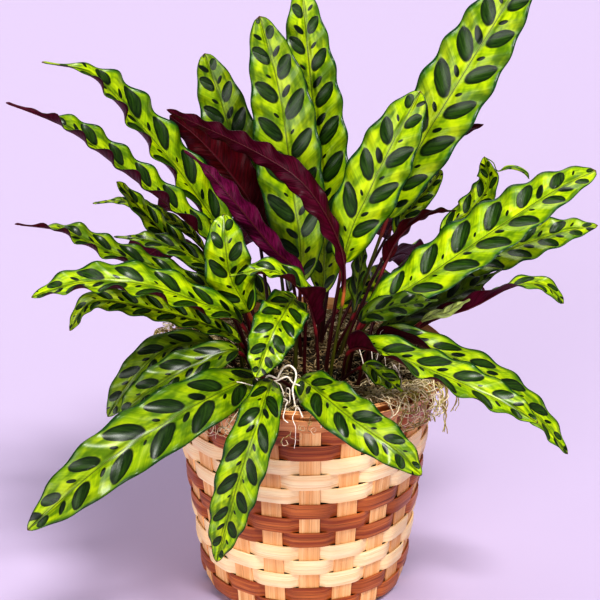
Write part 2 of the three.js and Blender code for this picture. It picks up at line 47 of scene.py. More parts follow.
# Basket, as in the model
STAKES = 20
STAKE_WIDTH = 13
STAKE_TURN = radians(2.4)
WALL_FOOT = (67.3, 5)  # radius and height
WALL_TOP = (84.3, 146)
RIM_TOP = (95.5, 160)
ROWS = "DDLLLDDDLLLDD"  # dark and light strips, from the bottom
ROW_PITCH = 10.8
FIRST_ROW = 10.4  # the height of the lowest strip's middle
STRIP_HEIGHT = 10.7
WEAVE_OFFSET = 1.45
WEAVE_SHARPNESS = 1.9  # how quickly a strip passes from the outside to the inside

# Soil and moss: radius and height of lines that strands of moss follow
SOIL_TOP = 146
SOIL_RADIUS = 73.2
MAT_LINE = [(49, 150), (56, 152.8), (66, 155.5), (76, 154.5), (85, 154.5)]
CROWN_LINE = [(1, 147.2), (30, 147.4), (46, 148.2), (54, 151)]
SPILL_LINE = [(68, 156), (78, 156.5), (86, 159.5), (91.5, 163.4), (95.5, 164.6), (99.5, 163.6),
              (101.8, 160), (102.4, 154), (102, 148), (101, 143)]
OLIVE_TONE = 1.8  # the tone of moss that is olive

# Leaves
STEM_LEAD = 40
STEM_RADIUS = 1.5
STEM_STEPS = 22
TIP_HALF_WIDTH = 0.7
WAVE_LIFT = 2.1  # how far a margin rises and falls
LOBES = 0.045  # how much a margin goes in and out, in half widths
FOLD = 0.15  # how far each half of a blade is raised, in radians
ACROSS = 19  # points across a blade
BLADE_STEP = 1.7  # between a blade's rings
VEIN_SLANT = 0.71  # how far a vein reaches towards the tip over half a leaf, in ovals
VEIN_BEND = 1.15
SIDE_SHIFT = 0.45  # how far the ovals at the left lie behind those at the right

# Each line: name, half width, upper face at the base and at the tip in tenths, root, and the
# midrib from the stalk's end on. A line that starts with a space belongs to the one before.
LEAVES = """
tall_1  17  0 -10 2  0 -10 4  -20 22  -31 34 237  -42 42 273  -52 50 309  -64 56 345
tall_2  21  0 -10 2  0 -10 4  -6 8  -2 6 221  -8 14 270  -15 24 324  -28 36 373
tall_3  20  0 -10 2  0 -10 4  8 26  13 32 202  11 42 258  5 54 318  -2 70 386
tall_4  22.5  -2 -10 2  -2 -10 5  24 22  54 26 244  73 34 287  99 42 331  144 52 406
tall_5  19  -2 -10 2  -1 -10 5  14 -4  26 -6 233  40 -8 272  57 -6 309  71 0 334
young_1  8  -3 -10 2  -2 -10 5  26 30  60 44 227  71 50 243  82 54 255  91 56 267
turned_1  7  -3 10 2  -2 5 10  18 38  63 62 234  80 66 268  99 64 289  117 56 298
turned_2  9  -2 8 6  -2 5 10  30 12  53 24 214  65 30 234  82 34 244  99 32 247
turned_wide  16  -1 10 3  -2 10 5  -2 20  -9 18 212  -23 20 239  -44 22 271  -66 24 297  -85 26 312
turned_arched  9  -9 3 2  -1 9 5  16 -24  24 -24 212  21 -20 242  1 -16 278  -29 -8 298  -85 6 321
turned_waved  9  -3 9 3  -2 9 5  0 -14  -1 -18 215  -20 -20 240  -42 -18 268  -61 -12 289  -74 -8 299
right_1  21  -4 -6 8  -3 -5 8  28 -14  39 -26 194  77 -24 223  123 -14 253  158 -6 274  182 2 283
right_2  17  -3 -6 8  -2 -5 9  40 6  52 16 191  89 28 206  136 34 220  168 34 231  192 34 236
right_3  8  -2 2 10  5 -3 8  40 -14  74 -12 184  105 -22 201  130 -22 215  151 -18 214  164 -16 201
right_4  11  -3 -5 9  -2 -4 9  42 -4  47 1 170  70 2 186  95 3 197  128 7 216
right_5  9  -1 -7 7  1 -5 9  24 -26  35 -38 197  51 -42 208  66 -44 212  82 -46 215
right_6  10  -5 -8 3  -5 -6 8  28 24  91 47 224  109 48 241  121 47 260  117 43 280
rolled  5  -1 -7 7  1 -5 9  36 -20  74 -22 191  88 -28 199  96 -30 205  103 -32 210
low_right_1  14  -1 0 10  2 -8 6  24 -34  28 -50 184  49 -70 190  86 -95 185  120 -105 172  137 -108 162
low_right_2  13  -1 0 10  3 -6 7  34 -28  46 -30 185  77 -46 184  112 -52 169  143 -54 143  166 -54 114
small_front  8  0 -4 9  1 -5 8  18 -40  36 -52 174  48 -68 173  59 -84 171
left_1  16  3 -7 7  2 -5 9  -26 10  -44 18 216  -70 16 265  -101 10 309  -129 0 344  -158 -8 354
left_2  12  3 -1 10  1 -2 10  -30 0  -46 -4 218  -74 -10 255  -113 -16 291  -144 -20 317  -179 -20 332
left_3  10  2 -6 8  1 -5 9  -32 -12  -52 -18 204  -90 -26 227  -121 -34 243  -146 -38 257  -175 -40 262
left_4  13  1 -7 7  0 -6 8  -26 -24  -39 -38 197  -64 -50 215  -98 -62 232  -133 -68 235  -162 -72 227
left_5  9  1 -6 8  -3 -6 7  -34 -20  -40 -34 182  -64 -42 199  -100 -50 213  -129 -54 217  -143 -56 199
left_6  9  3 -6 8  2 -5 9  -38 4  -54 4 206  -80 4 231  -102 2 257  -117 -2 277
left_7  8  2 -6 8  1 -5 9  -40 -6  -48 -8 208  -72 -12 232  -96 -16 243  -118 -20 247
young_2  5  2 -6 8  1 -5 9  -36 18  -65 26 222  -93 24 247  -115 20 257  -135 16 257
middle_1  15  1 -10 2  0 -8 7  -20 -12  -35 -26 199  -45 -34 224  -48 -40 249  -49 -30 265
middle_2  9  3 1 8  0 -5 8  9 -38  7 -44 198  -1 -50 222  -20 -56 238  -45 -60 236
middle_3  8  -9 -4 2  -8 -6 4  18 10  32 6 186  35 8 209  40 10 234
front_1  18.5  3 -6 8  2 -7 7  -14 -36  -27 -57 168  -55 -95 173  -89 -124 164  -119 -145 150  -157 -160 120
front_2  14  0 -8 6  0 -10 2  -6 -42  -19 -66 170  -27 -106 163  -39 -118 129  -53 -116 73
front_3  14.5  -1 -7 7  -1 -8 6  4 -42  -3 -58 168  10 -90 172  28 -112 166  53 -124 152  68 -128 138
front_4  15  2 -5 8  1 -9 4  -6 -26  -5 -30 207  -14 -60 209  -21 -76 200  -29 -84 180
low_left_1  12  2 -6 8  1 -7 6  -40 -18  -57 -20 175  -87 -38 178  -107 -48 162  -123 -52 139
low_left_2  13  2 -6 8  1 -7 6  -30 -34  -41 -44 180  -72 -60 175  -95 -70 164  -113 -76 150
back_1  16  -3 5 8  -3 7 7  10 42  15 60 184  30 92 210  50 125 207  66 150 182
back_1  14  -3 5 8  -2 7 7  11.5 41  20 50 215  28 74 244  34 100 250  38 124 238
back_1  14  -2 -5 8  2 -4 8  11.5 43  23 54 169  43 66 180  66 79 175  88 90 157
back_2  17  2 5 8  2 7 7  -12 40  -10 60 180  -20 94 208  -36 128 203  -50 155 172
back_2  15  1 5 8  1 7 7  -10.5 41  -18 52 225  -20 80 257  -16 108 264  -10 134 252
back_2  14  2 -5 8  -2 -4 8  -11.5 42  -24 54 173  -46 67 187  -70 78 180  -92 85 158
back_3  15  -5 3 8  -5 4 7  34 31  58 48 195  88 68 205  112 85 190  128 98 165
back_3  14  -4 5 8  -4 6 7  33 32  46 58 190  64 84 198  78 108 186  88 126 162
back_4  16  5 3 8  5 4 7  -32 34  -55 52 195  -86 75 208  -112 92 192  -128 104 162
back_4  14  4 4 8  4 5 7  -33 32.5  -50 44 214  -70 58 234  -88 70 238  -104 80 228
"""
FOLDS = dict(left_1=0.3, left_2=0.5)
# How much more a blade is folded at its base, and up to which share
CUPS = dict(right_3=(1, 0.8), low_right_1=(1.1, 0.4), low_right_2=(1.1, 0.35), middle_2=(1, 0.7))
# How much livelier the margins of a leaf are, and its waves' and ovals' length in half widths
LIVELY = dict(
    turned_waved=(2.6, 2.3), turned_arched=(1.8, 2), turned_wide=(1.2, 1.4), turned_1=(1.2, 2.2),
    left_1=(1.35, 1.75), left_2=(1.25, 1.8), left_3=(1.6, 2.1), left_4=(1.35, 1.85),
    left_5=(1, 1.75), left_6=(1.2, 2.2), left_7=(1.2, 2.2), middle_2=(1.3, 2.1),
    right_1=(0.8, 1.15), right_3=(1.2, 2.6), low_right_1=(0.75, 1.75), low_right_2=(0.7, 1.85),
    low_left_1=(0.6, 1.6), low_left_2=(0.7, 1.65), front_1=(0.7, 1.62), front_4=(0.9, 0.92),
    tall_1=(0.7, 1.3), tall_2=(0.7, 1.2))
# From 0.5 down, and most below nought, a leaf is darkened with painted shade, from 0.35 down its underside
# is browner and darker, partly with painted shade, from 1.4 it is paler, and above one its underside is a
# brighter purple
TONES = dict(
    turned_wide=0, turned_arched=0.7, turned_waved=1.3, turned_1=0, turned_2=0, right_1=0.6,
    right_4=-1, right_5=-1, left_1=0.5, left_2=0.3, left_3=-0.15, left_4=0.5, left_5=0.4,
    left_7=-0.3, middle_1=0.7, middle_3=-0.6, front_1=-0.12, front_2=0.05, front_3=0.1, front_4=0.5,
    low_left_1=-0.6, low_left_2=-0.45, low_right_1=0.45, low_right_2=0.35, tall_1=-0.15, tall_2=0,
    rolled=1.6, young_1=1)
# Where a blade starts, from 1 at the stalk's foot to 2 at its first point in the table
STARTS = dict(tall_2=1.8, tall_3=1.78, tall_5=1.88)
# How far a blade leans towards the front, in radians
TILTS = dict(left_2=0.36, left_5=0.15, turned_1=-0.6, middle_2=0.22, right_3=-0.75)
# A blade whose margins are rolled in looks narrower
ROLLED = dict(turned_waved=0.8, turned_arched=0.92, rolled=0.75)
# How far a blade's tip turns over, in radians, and the share where that starts
TWISTS = dict(left_2=(-1.9, 0.76), left_3=(-1.3, 0.72), right_3=(-1.5, 0.42))
# How far the margin nearer the front curls up and shows its purple, in half widths
CURLS = dict(left_1=0.6, left_2=0.7, left_3=0.8, left_4=0.9, left_5=0.4, low_right_1=0.6,
             low_right_2=0.3, middle_2=0.95)
# Leaves whose names start like this are blunt or pointed, and all the others have a tail
BLUNT = ("tall", "middle_1", "right_1", "right_3", "turned_arched", "turned_wide", "left_5", "left_6",
         "young_1")
POINTED = ("right_2", "front", "low", "turned_1", "turned_2", "left_4", "right_6")


# Small helpers

def rows(text):
    """A table's lines, each as the word that it starts with and an array of its numbers."""
    for line in text.strip().replace("\n ", " ").splitlines():
        word, *numbers = line.split()
        yield word, np.array(numbers, float)


def unit(v):
    return v / np.linalg.norm(v, axis=-1, keepdims=True)


def smooth(edge0, edge1, x):
    t = np.clip((x - edge0) / (edge1 - edge0), 0, 1)
    return t * t * (3 - 2 * t)


def wobble(x, seed, waves=4):
    """A smooth random curve between about -1 and 1."""
    rng = np.random.default_rng(seed)
    total = np.zeros_like(np.asarray(x, float))
    for _ in range(waves):
        total += np.sin(x * rng.uniform(0.4, 1.6) + rng.uniform(0, FULL_TURN))
    return total / sqrt(waves) / 1.4


def catmull(points, setting):
    """A point of the curve that the model's leaves follow."""
    last = len(points) - 1
    i = min(int(setting), last - 1)
    t = setting - i
    p1, p2 = points[i], points[i + 1]
    p0 = points[i - 1] if i > 0 else 2 * points[0] - points[1]
    p3 = points[i + 2] if i + 2 <= last else 2 * points[-1] - points[-2]
    v0 = (p2 - p0) / 2
    v1 = (p3 - p1) / 2
    return (2 * p1 - 2 * p2 + v0 + v1) * t**3 + (3 * p2 - 3 * p1 - 2 * v0 - v1) * t * t + v0 * t + p1


def line_lengths(line):
    """How far each point lies along a line."""
    return np.r_[0, np.cumsum(np.linalg.norm(np.diff(line, axis=0), axis=1))]


def even_settings(points, start, end, steps):
    """Settings that split a curve into even steps, and the curve's length."""
    settings = np.linspace(start, end, 161)
    lengths = line_lengths([catmull(points, setting) for setting in settings])
    return np.interp(np.linspace(0, lengths[-1], steps + 1), lengths, settings), lengths[-1]


def curve(points, steps):
    """Even points along a whole curve, and its length."""
    settings, length = even_settings(points, 0, len(points) - 1, steps)
    return np.array([catmull(points, setting) for setting in settings]), length


def direction(points, setting):
    last = len(points) - 1
    ahead = catmull(points, min(setting + 1e-3, last))
    return unit(ahead - catmull(points, max(setting - 1e-3, 0)))


def across(vector, along):
    return unit(vector - along * np.dot(vector, along))


def spin(angle, section):
    """A section of (radius, height) points, turned to an angle."""
    return [(r * cos(angle), r * sin(angle), z) for r, z in section]


def even_angles(count):
    return np.arange(count) * FULL_TURN / count


def flat_section(half, inner):
    """The outline of a flat chip: points across it and through it."""
    places = (-half, -inner, inner, half)
    return [(a, -half) for a in places] + [(a, half) for a in places[::-1]]


# Meshes

def add_object(name, data, place=None, target=None):
    """Adds an object to the scene. With a place, it looks from there at its target."""
    made = bpy.data.objects.new(name, data)
    bpy.context.collection.objects.link(made)
    if place:
        made.location = place
        made.rotation_euler = (target - Vector(place)).to_track_quat("-Z", "Y").to_euler()
    return made


class Shape:
    """Collects sweeps, each with its own texture coordinates, tone and material."""

    def __init__(self):
        self.parts = []
        self.faces = []
        self.count = 0

    def add(self, points, faces, coords, tones, marks, slots):
        """Points with a tone and marks each, and faces with coords at each corner and a slot each."""
        self.parts.append((points, coords, tones, marks, slots))
        self.faces.extend([[corner + self.count for corner in face] for face in faces])
        self.count += len(points)

    def sweep(self, rings, along, around, tone=0.5, slot=0, closed=False, marks=(0, 0)):
        """A skin over rings (n, k, 3). along and around are texture coordinates.

        slot is a material number, or one for each strip of the skin, and tone a number, or one
        for each ring. marks holds two for each ring: a leaf's fullness and share of length.
        """
        rings = np.asarray(rings, float)
        n, k = rings.shape[:2]
        points = rings.reshape(-1, 3)
        numbers = np.arange(n * k).reshape(n, k)
        spots = np.stack(np.meshgrid(along, around, indexing="ij"), -1)
        i = np.arange(n if closed else n - 1)[:, None]
        j = np.arange(k)
        corners = ((0, 0), (0, 1), (1, 1), (1, 0))
        quads = np.stack([numbers[(i + a) % n, (j + b) % k] for a, b in corners], -1).reshape(-1, 4)
        coords = np.stack([spots[i + a, j + b] for a, b in corners], -2).reshape(-1, 4, 2)
        p = points[quads]
        volume = sum(np.einsum("ij,ij", p[:, 0], np.cross(p[:, c], p[:, c + 1])) for c in (1, 2))
        if volume < 0:
            quads = quads[:, ::-1]
            coords = coords[:, ::-1]
        faces = quads.tolist()
        coords = [coords.reshape(-1, 2)]
        strips = np.broadcast_to(slot, (k,))
        slots = [*np.tile(strips, len(i))]
        for end in () if closed else (0, n - 1):
            inwards = (end == 0) == (volume >= 0)
            faces.append(numbers[end, ::-1 if inwards else 1].tolist())
            coords.append(np.tile(spots[end, 0], (k, 1)))
            slots.append(strips[0])
        self.add(points, faces, np.concatenate(coords), np.repeat(np.broadcast_to(tone, n), k),
                 np.repeat(np.broadcast_to(marks, (n, 2)), k, axis=0), slots)

    def piece(self, node, materials, slot, sharp=None, name=None):
        """Makes a visible piece, which stands for a node of the model unless it has its own name."""
        name = name or node + "_fine"
        points, coords, tones, marks, slots = map(np.concatenate, zip(*self.parts))
        mesh = bpy.data.meshes.new(name)
        mesh.from_pydata((points * MM).tolist(), [], self.faces)
        for material in materials:
            mesh.materials.append(material)
        mesh.polygons.foreach_set("material_index", slots.astype(np.int32))
        for layer, field, values in (
                (mesh.uv_layers.new(name="grain"), "uv", coords),
                (mesh.attributes.new("tone", "FLOAT", "POINT"), "value", tones),
                (mesh.attributes.new("marks", "FLOAT_VECTOR", "POINT"), "vector", np.c_[marks, 0 * tones])):
            layer.data.foreach_set(field, values.astype(np.float32).ravel())
        mesh.shade_smooth()
        if sharp:
            mesh.set_sharp_from_angle(angle=radians(sharp))
        made = add_object(name, mesh)
        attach(made, "root")
        if node:
            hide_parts(node)


def tube_rings(path, radius, sides, squash=1):
    """Round rings along a path of points, without a twist."""
    path = np.asarray(path, float)
    radius = np.broadcast_to(radius, (len(path),))
    tangents = unit(np.gradient(path, axis=0))
    up = across(np.array([0.31, 0.17, 0.93]), tangents[0])
    angles = even_angles(sides)[:, None]
    rings = []
    for centre, along, r in zip(path, tangents, radius):
        up = across(up, along)
        side = np.cross(along, up)
        rings.append(centre + r * (np.cos(angles) * side + squash * np.sin(angles) * up))
    return np.array(rings)


# Materials

def colour(*levels):
    """A colour as seen on a screen, from 0 to 255, as linear light."""
    parts = [c / 255 for c in levels]
    return (*(c / 12.92 if c <= 0.04045 else ((c + 0.055) / 1.055) ** 2.4 for c in parts), 1)


class Value:
    """A node's output, which sums and products can be made with."""

    def __init__(self, paint, socket):
        self.paint = paint
        self.socket = socket

    def __add__(self, other):
        return self.paint.math("ADD", self, other)

    def __sub__(self, other):
        return self.paint.math("SUBTRACT", self, other)

    def __mul__(self, other):
        return self.paint.math("MULTIPLY", self, other)


class Paint:
    """A node material: its methods add a node and give back that node's output."""

    def __init__(self, name, **sockets):
        self.material = bpy.data.materials.new(name)
        self.material.use_nodes = True
        self.tree = self.material.node_tree
        self.shader = self.tree.nodes["Principled BSDF"]
        for socket, value in sockets.items():
            self.shader.inputs[socket.replace("_", " ")].default_value = value

    def node(self, kind, inputs=(), output=0, **settings):
        made = self.tree.nodes.new("ShaderNode" + kind)
        for key, value in settings.items():
            setattr(made, key, value)
        for socket, value in dict(inputs).items():
            self.put(made.inputs[socket], value)
        return Value(self, made.outputs[output])

    def put(self, socket, value):
        """Gives a socket a value, a number or a colour."""
        if isinstance(value, Value):
            self.tree.links.new(value.socket, socket)
        else:
            socket.default_value = colour(*value) if isinstance(value, tuple) else value

    def math(self, operation, *values):
        return self.node("Math", enumerate(values), operation=operation)

    def mix(self, factor, a, b):
        return self.node("Mix", {0: factor, 6: a, 7: b}, 2, data_type="RGBA")

    def range(self, value, low, high, to_low=0, to_high=1):
        return self.node("MapRange", {0: value, 1: low, 2: high, 3: to_low, 4: to_high},
                         interpolation_type="SMOOTHSTEP")

    def over(self, base, *layers):
        """base under layers, each a value, from where to where it brings in a top, and the top.

        A layer may end with its strength.
        """
        for value, low, high, top, *strength in layers:
            base = self.mix(self.range(value, low, high, 0, *strength), base, top)
        return base

    def parts(self, vector):
        first = self.node("SeparateXYZ", {0: vector})
        return first, Value(self, first.socket.node.outputs[1])

    def grain(self):
        """The texture coordinates of a sweep, apart: along and around."""
        return self.parts(self.node("UVMap", uv_map="grain"))

    def point(self, x, y, z=0):
        return self.node("CombineXYZ", {0: x, 1: y, 2: z})

    def tone(self):
        return self.node("Attribute", output=2, attribute_name="tone")

    def noise(self, place, scale, detail=3, roughness=0.55):
        return self.node("TexNoise", {"Vector": place, "Scale": scale, "Detail": detail,
                                      "Roughness": roughness})

    def chance(self, number):
        return self.node("TexWhiteNoise", {"W": number}, noise_dimensions="1D")

    def finish(self, color, texture, smoothest, roughest, height, distance, strength=1):
        """Colour, roughness that follows a texture, and bump."""
        bump = self.node("Bump", {"Strength": strength, "Distance": distance, "Height": height})
        roughness = self.range(texture, 0.3, 0.7, smoothest, roughest)
        for socket, value in {"Base Color": color, "Roughness": roughness, "Normal": bump}.items():
            self.put(self.shader.inputs[socket], value)
        return self.material


class BladePaint(Paint):
    """A paint that knows where a point lies among a blade's veins and ovals."""

    def __init__(self, name, **sockets):
        super().__init__(name, **sockets)
        self.u, self.v = self.grain()
        self.full, self.share = self.parts(self.node("Attribute", output=1, attribute_name="marks"))
        self.leaf_tone = self.tone()
        self.q = self.math("ABSOLUTE", self.v)  # from 0 at the midrib to 1 at a margin
        self.side = self.math("GREATER_THAN", self.v, 0)
        self.out = self.q * self.full
        # A row lies between two side veins and holds one oval
        self.row = self.u + self.side * SIDE_SHIFT - self.math("POWER", self.out, VEIN_BEND) * VEIN_SLANT
        self.cell = self.math("FRACT", self.row) - 0.5
        self.off_middle = self.math("ABSOLUTE", self.cell)
        self.veins = self.noise(self.point(self.row * 9, self.q * 1.2, self.leaf_tone), 1.6, 3, 0.6)
        self.fine = self.math("SINE", self.row * (FULL_TURN * 6))

    def number(self, row):
        """A number of its own for each row, side and leaf."""
        leaf_part = self.math("FLOOR", self.leaf_tone * 997)
        return self.math("FLOOR", row) + self.side * 37 + leaf_part

    def distance(self, a, a_half, b, b_half):
        a = self.math("DIVIDE", a, a_half)
        b = self.math("DIVIDE", b, b_half)
        return self.math("SQRT", a * a + b * b)


def leaf_upper():
    p = BladePaint("leaf_upper", Specular_IOR_Level=0.12, Coat_Weight=0.34, Coat_Roughness=0.25)
    q, row, tone, veins = p.q, p.row, p.leaf_tone, p.veins
    blur = p.noise(p.point(p.u, p.v, tone * 20), 3, 2)
    shift = (blur - 0.5) * 0.24

    # Large ovals, one for each row, shorter where the blade narrows
    chance = p.chance(p.number(row))
    half_row = (p.full * 0.65 + 0.35) * p.range(chance, 0, 1, 0.25, 0.295) * (q * -0.3 + 1.12)
    far = p.distance(p.cell, half_row, q - 0.465, p.range(chance, 0, 1, 0.375, 0.415)) + shift
    large = p.range(far, 1.08, 0.93)

    # Small ovals between them, near the midrib
    other_row = row + 0.53
    chance = p.chance(p.number(other_row) + 0.37)
    size = chance * chance * 0.1 + 0.045
    near = p.distance(p.math("FRACT", other_row) - 0.5, size * 0.9, p.out - 0.215, size * 1.35)
    small = p.range(near + shift * 1.5, 1.15, 0.85)
    ovals = p.math("MAXIMUM", large, small)

    # Lime with brighter and darker patches, and the margin's dark band
    edge = q + p.math("SINE", row * FULL_TURN) * 0.03 + shift * 0.6
    bright = p.noise(p.point(p.u * 1.3, p.v * 1.5, tone + 9), 1.4, 2)
    patch = p.noise(p.point(p.u, p.v * 1.5, tone), 1.7, 2)
    margin = p.over((6, 38, 12), (veins, 0.3, 0.7, (20, 74, 28)))
    lime = p.over((134, 168, 0), (veins, 0.3, 0.7, (170, 198, 0)),
                  (bright, 0.46, 0.68, (196, 218, 6), 0.8), (patch, 0.44, 0.66, (72, 112, 0), 0.85),
                  (edge, 0.68, 1, (52, 104, 6), 0.85), (edge, 0.91, 0.97, margin, 0.95))
    deep = p.over((15, 42, 3), (veins, 0.3, 0.75, (48, 80, 8)), (far, 0.55, 1, (7, 28, 2)))
    # Painted shade for leaves with a low tone, darkest on the ovals
    painted_shade_green = p.mix(ovals, (40, 62, 0), (8, 18, 4))
    # The midrib is pale with a dark line in it, and the very tip is brown
    green = p.over(p.mix(ovals, lime, deep), (q, 0.034, 0.014, (146, 166, 20), 0.7),
                   (q, 0.016, 0.005, (40, 60, 6), 0.85), (p.share, 0.986, 1, (92, 58, 30)),
                   (tone, 0.5, -1, painted_shade_green, 0.85), (tone, 1.4, 1.6, (168, 176, 112), 0.7))

    crease = p.off_middle * p.range(q, 0.06, 0.2) * p.range(q, 1, 0.8)
    height = p.fine * 0.016 + crease * p.range(large, 0, 1, 1.4, 2.4)
    height = height + veins * 0.1 + p.range(q, 0, 0.06, 0, 0.25)
    return p.finish(green, veins, 0.26, 0.4, height, 0.0022)


def leaf_under():
    p = BladePaint("leaf_underside", Specular_IOR_Level=0.06, Coat_Weight=0.07, Coat_Roughness=0.3)
    tone, veins = p.leaf_tone, p.veins
    bright = p.over((56, 1, 26), (veins, 0.3, 0.7, (98, 8, 60)))
    # A low tone brings in a darker brown: the leaf's own browner maroon, and painted shade on an underside
    # that lies in shade
    brown = p.over((44, 0, 6), (veins, 0.3, 0.75, (76, 1, 14)))
    purple = p.over((48, 0, 14), (veins, 0.3, 0.75, (78, 1, 34)), (tone, 1, 1.3, bright),
                    (tone, 0.35, 0, brown), (p.off_middle, 0.035, 0, (84, 8, 40), 0.3),
                    (p.q, 0.8, 1, (28, 1, 8), 0.5), (p.q, 0.06, 0.03, (96, 12, 34), 0.6))
    height = p.fine * 0.05 + veins * 0.3 + p.off_middle * -1.2
    return p.finish(purple, veins, 0.36, 0.5, height, 0.0014)


def leaf_stalk():
    """Maroon or olive, with a joint under the blade."""
    p = Paint("leaf_stalk", Specular_IOR_Level=0.3)
    u, v = p.grain()
    tone = p.tone()
    streaks = p.noise(p.point(u * 3, v * 8, tone), 2)
    olive = p.over((40, 46, 4), (streaks, 0.3, 0.7, (84, 84, 8)))
    joint = p.over((112, 20, 28), (tone, 0.7, 0.8, (186, 100, 44)))
    body = p.over((34, 2, 6), (streaks, 0.3, 0.7, (72, 6, 16)), (tone, 0.6, 0.75, olive),
                  (u, 0.3, 0, (56, 34, 22), 0.6), (u, 0.84, 0.92, joint), (u, 0.98, 1.04, (72, 12, 20)))
    return p.finish(body, streaks, 0.32, 0.5, streaks, 0.0003, 0.8)


def chip(name, light, middle, dark, gloss, streak=1, fine=14):
    """Sliced wood: along is the grain's way, and both coordinates are in centimetres."""
    p = Paint(name, Specular_IOR_Level=0.25, Coat_Weight=gloss, Coat_Roughness=0.3)
    u, v = p.grain()
    lines = p.noise(p.point(u * 0.16, v * fine), 1, 3, 0.6)
    bands = p.noise(p.point(u * 0.12, v * 3.4, 7), 1, 2)
    cloud = p.noise(p.point(u * 0.3, v * 0.8, 13), 1, 2)
    # A low tone darkens the wood: tone that differs at random, and on the strips painted shade where they
    # dip under the stakes and painted light on their crowns
    wood = p.over(middle, (bands, 0.35, 0.65, light), (lines, 0.5, 0.7, dark, 0.65 * streak),
                  (cloud, 0.5, 0.8, dark, 0.3), (p.tone(), 1, 0, p.mix(0.4, middle, dark), 0.5))
    return p.finish(wood, lines, 0.42, 0.62, lines + bands * 0.7, 0.0006, 0.9)


def soil_material():
    p = Paint("soil_earth", Specular_IOR_Level=0.3)
    place = p.node("TexCoord", output=3)
    coarse = p.noise(place, 220, 4, 0.65)
    fine = p.noise(place, 900, 3, 0.6)
    brown = p.over((22, 15, 12), (coarse, 0.35, 0.65, (52, 36, 27)),
                   (fine, 0.62, 0.75, (96, 72, 52), 0.7), (p.tone(), 0.6, 1, (84, 56, 36), 0.8))
    return p.finish(brown, fine, 0.8, 0.98, coarse, 0.002)


def moss_material():
    p = Paint("moss_fibre", Specular_IOR_Level=0.3)
    u, v = p.grain()
    tone = p.tone()
    flecks = p.noise(p.point(u * 2, v, tone * 40), 3)
    olive = p.over((118, 110, 44), (flecks, 0.4, 0.6, (208, 194, 112)))
    # Tone nought is near black, which on the bed under the strands is partly painted shade
    grey = p.over((20, 12, 7), (tone, 0, 0.5, (172, 144, 100)), (tone, 0.5, 1, (255, 240, 200)),
                  (flecks, 0.5, 0.75, (120, 104, 58), 0.5), (tone, 1.5, 1.6, olive))
    return p.finish(grey, flecks, 0.75, 0.95, flecks, 0.0003, 0.8)


def root_material():
    p = Paint("root_skin", Specular_IOR_Level=0.4)
    u, v = p.grain()
    flecks = p.noise(p.point(u * 4, v, p.tone()), 3, 4)
    pale = p.over((250, 240, 228), (flecks, 0.4, 0.75, (204, 176, 142)))
    return p.finish(pale, flecks, 0.4, 0.6, flecks, 0.0003, 0.8)


def pot_material():
    p = Paint("pot_plastic", Specular_IOR_Level=0.5)
    place = p.node("TexCoord", output=3)
    dust = p.noise(place, 60)
    black = p.over((24, 24, 26), (dust, 0.5, 0.8, (58, 54, 50), 0.6))
    return p.finish(black, dust, 0.42, 0.6, p.noise(place, 1500, 2), 0.0002, 0.5)


UPPER = leaf_upper()
UNDER = leaf_under()
STALK = leaf_stalk()
LIGHT = chip("chip_light", (255, 232, 186), (254, 217, 164), (216, 150, 90), 0.15, 0.8)
DARK = chip("chip_dark", (196, 110, 50), (146, 64, 22), (74, 26, 6), 0.4, 1.3)
STAKE = chip("chip_stake", (252, 204, 146), (240, 176, 114), (184, 112, 60), 0.05, 1.3, 22)
RIM = chip("chip_rim", (250, 192, 128), (232, 156, 94), (140, 74, 34), 0.1, 1.4, 30)
SOIL = soil_material()
MOSS = moss_material()
ROOT = root_material()
POT = pot_material()


# Leaves

def blade_width(share):
    return sin(pi * share**0.95) ** 0.5 if 0 < share < 1 else 0


def tip_of(name):
    """How much narrower a blade's end is than the model's full oval, and from and to which share."""
    if name.startswith(BLUNT):
        return 0, 0.9, 1
    return (0.3, 0.86, 1) if name.startswith(POINTED) else (0.86, 0.72, 0.975)


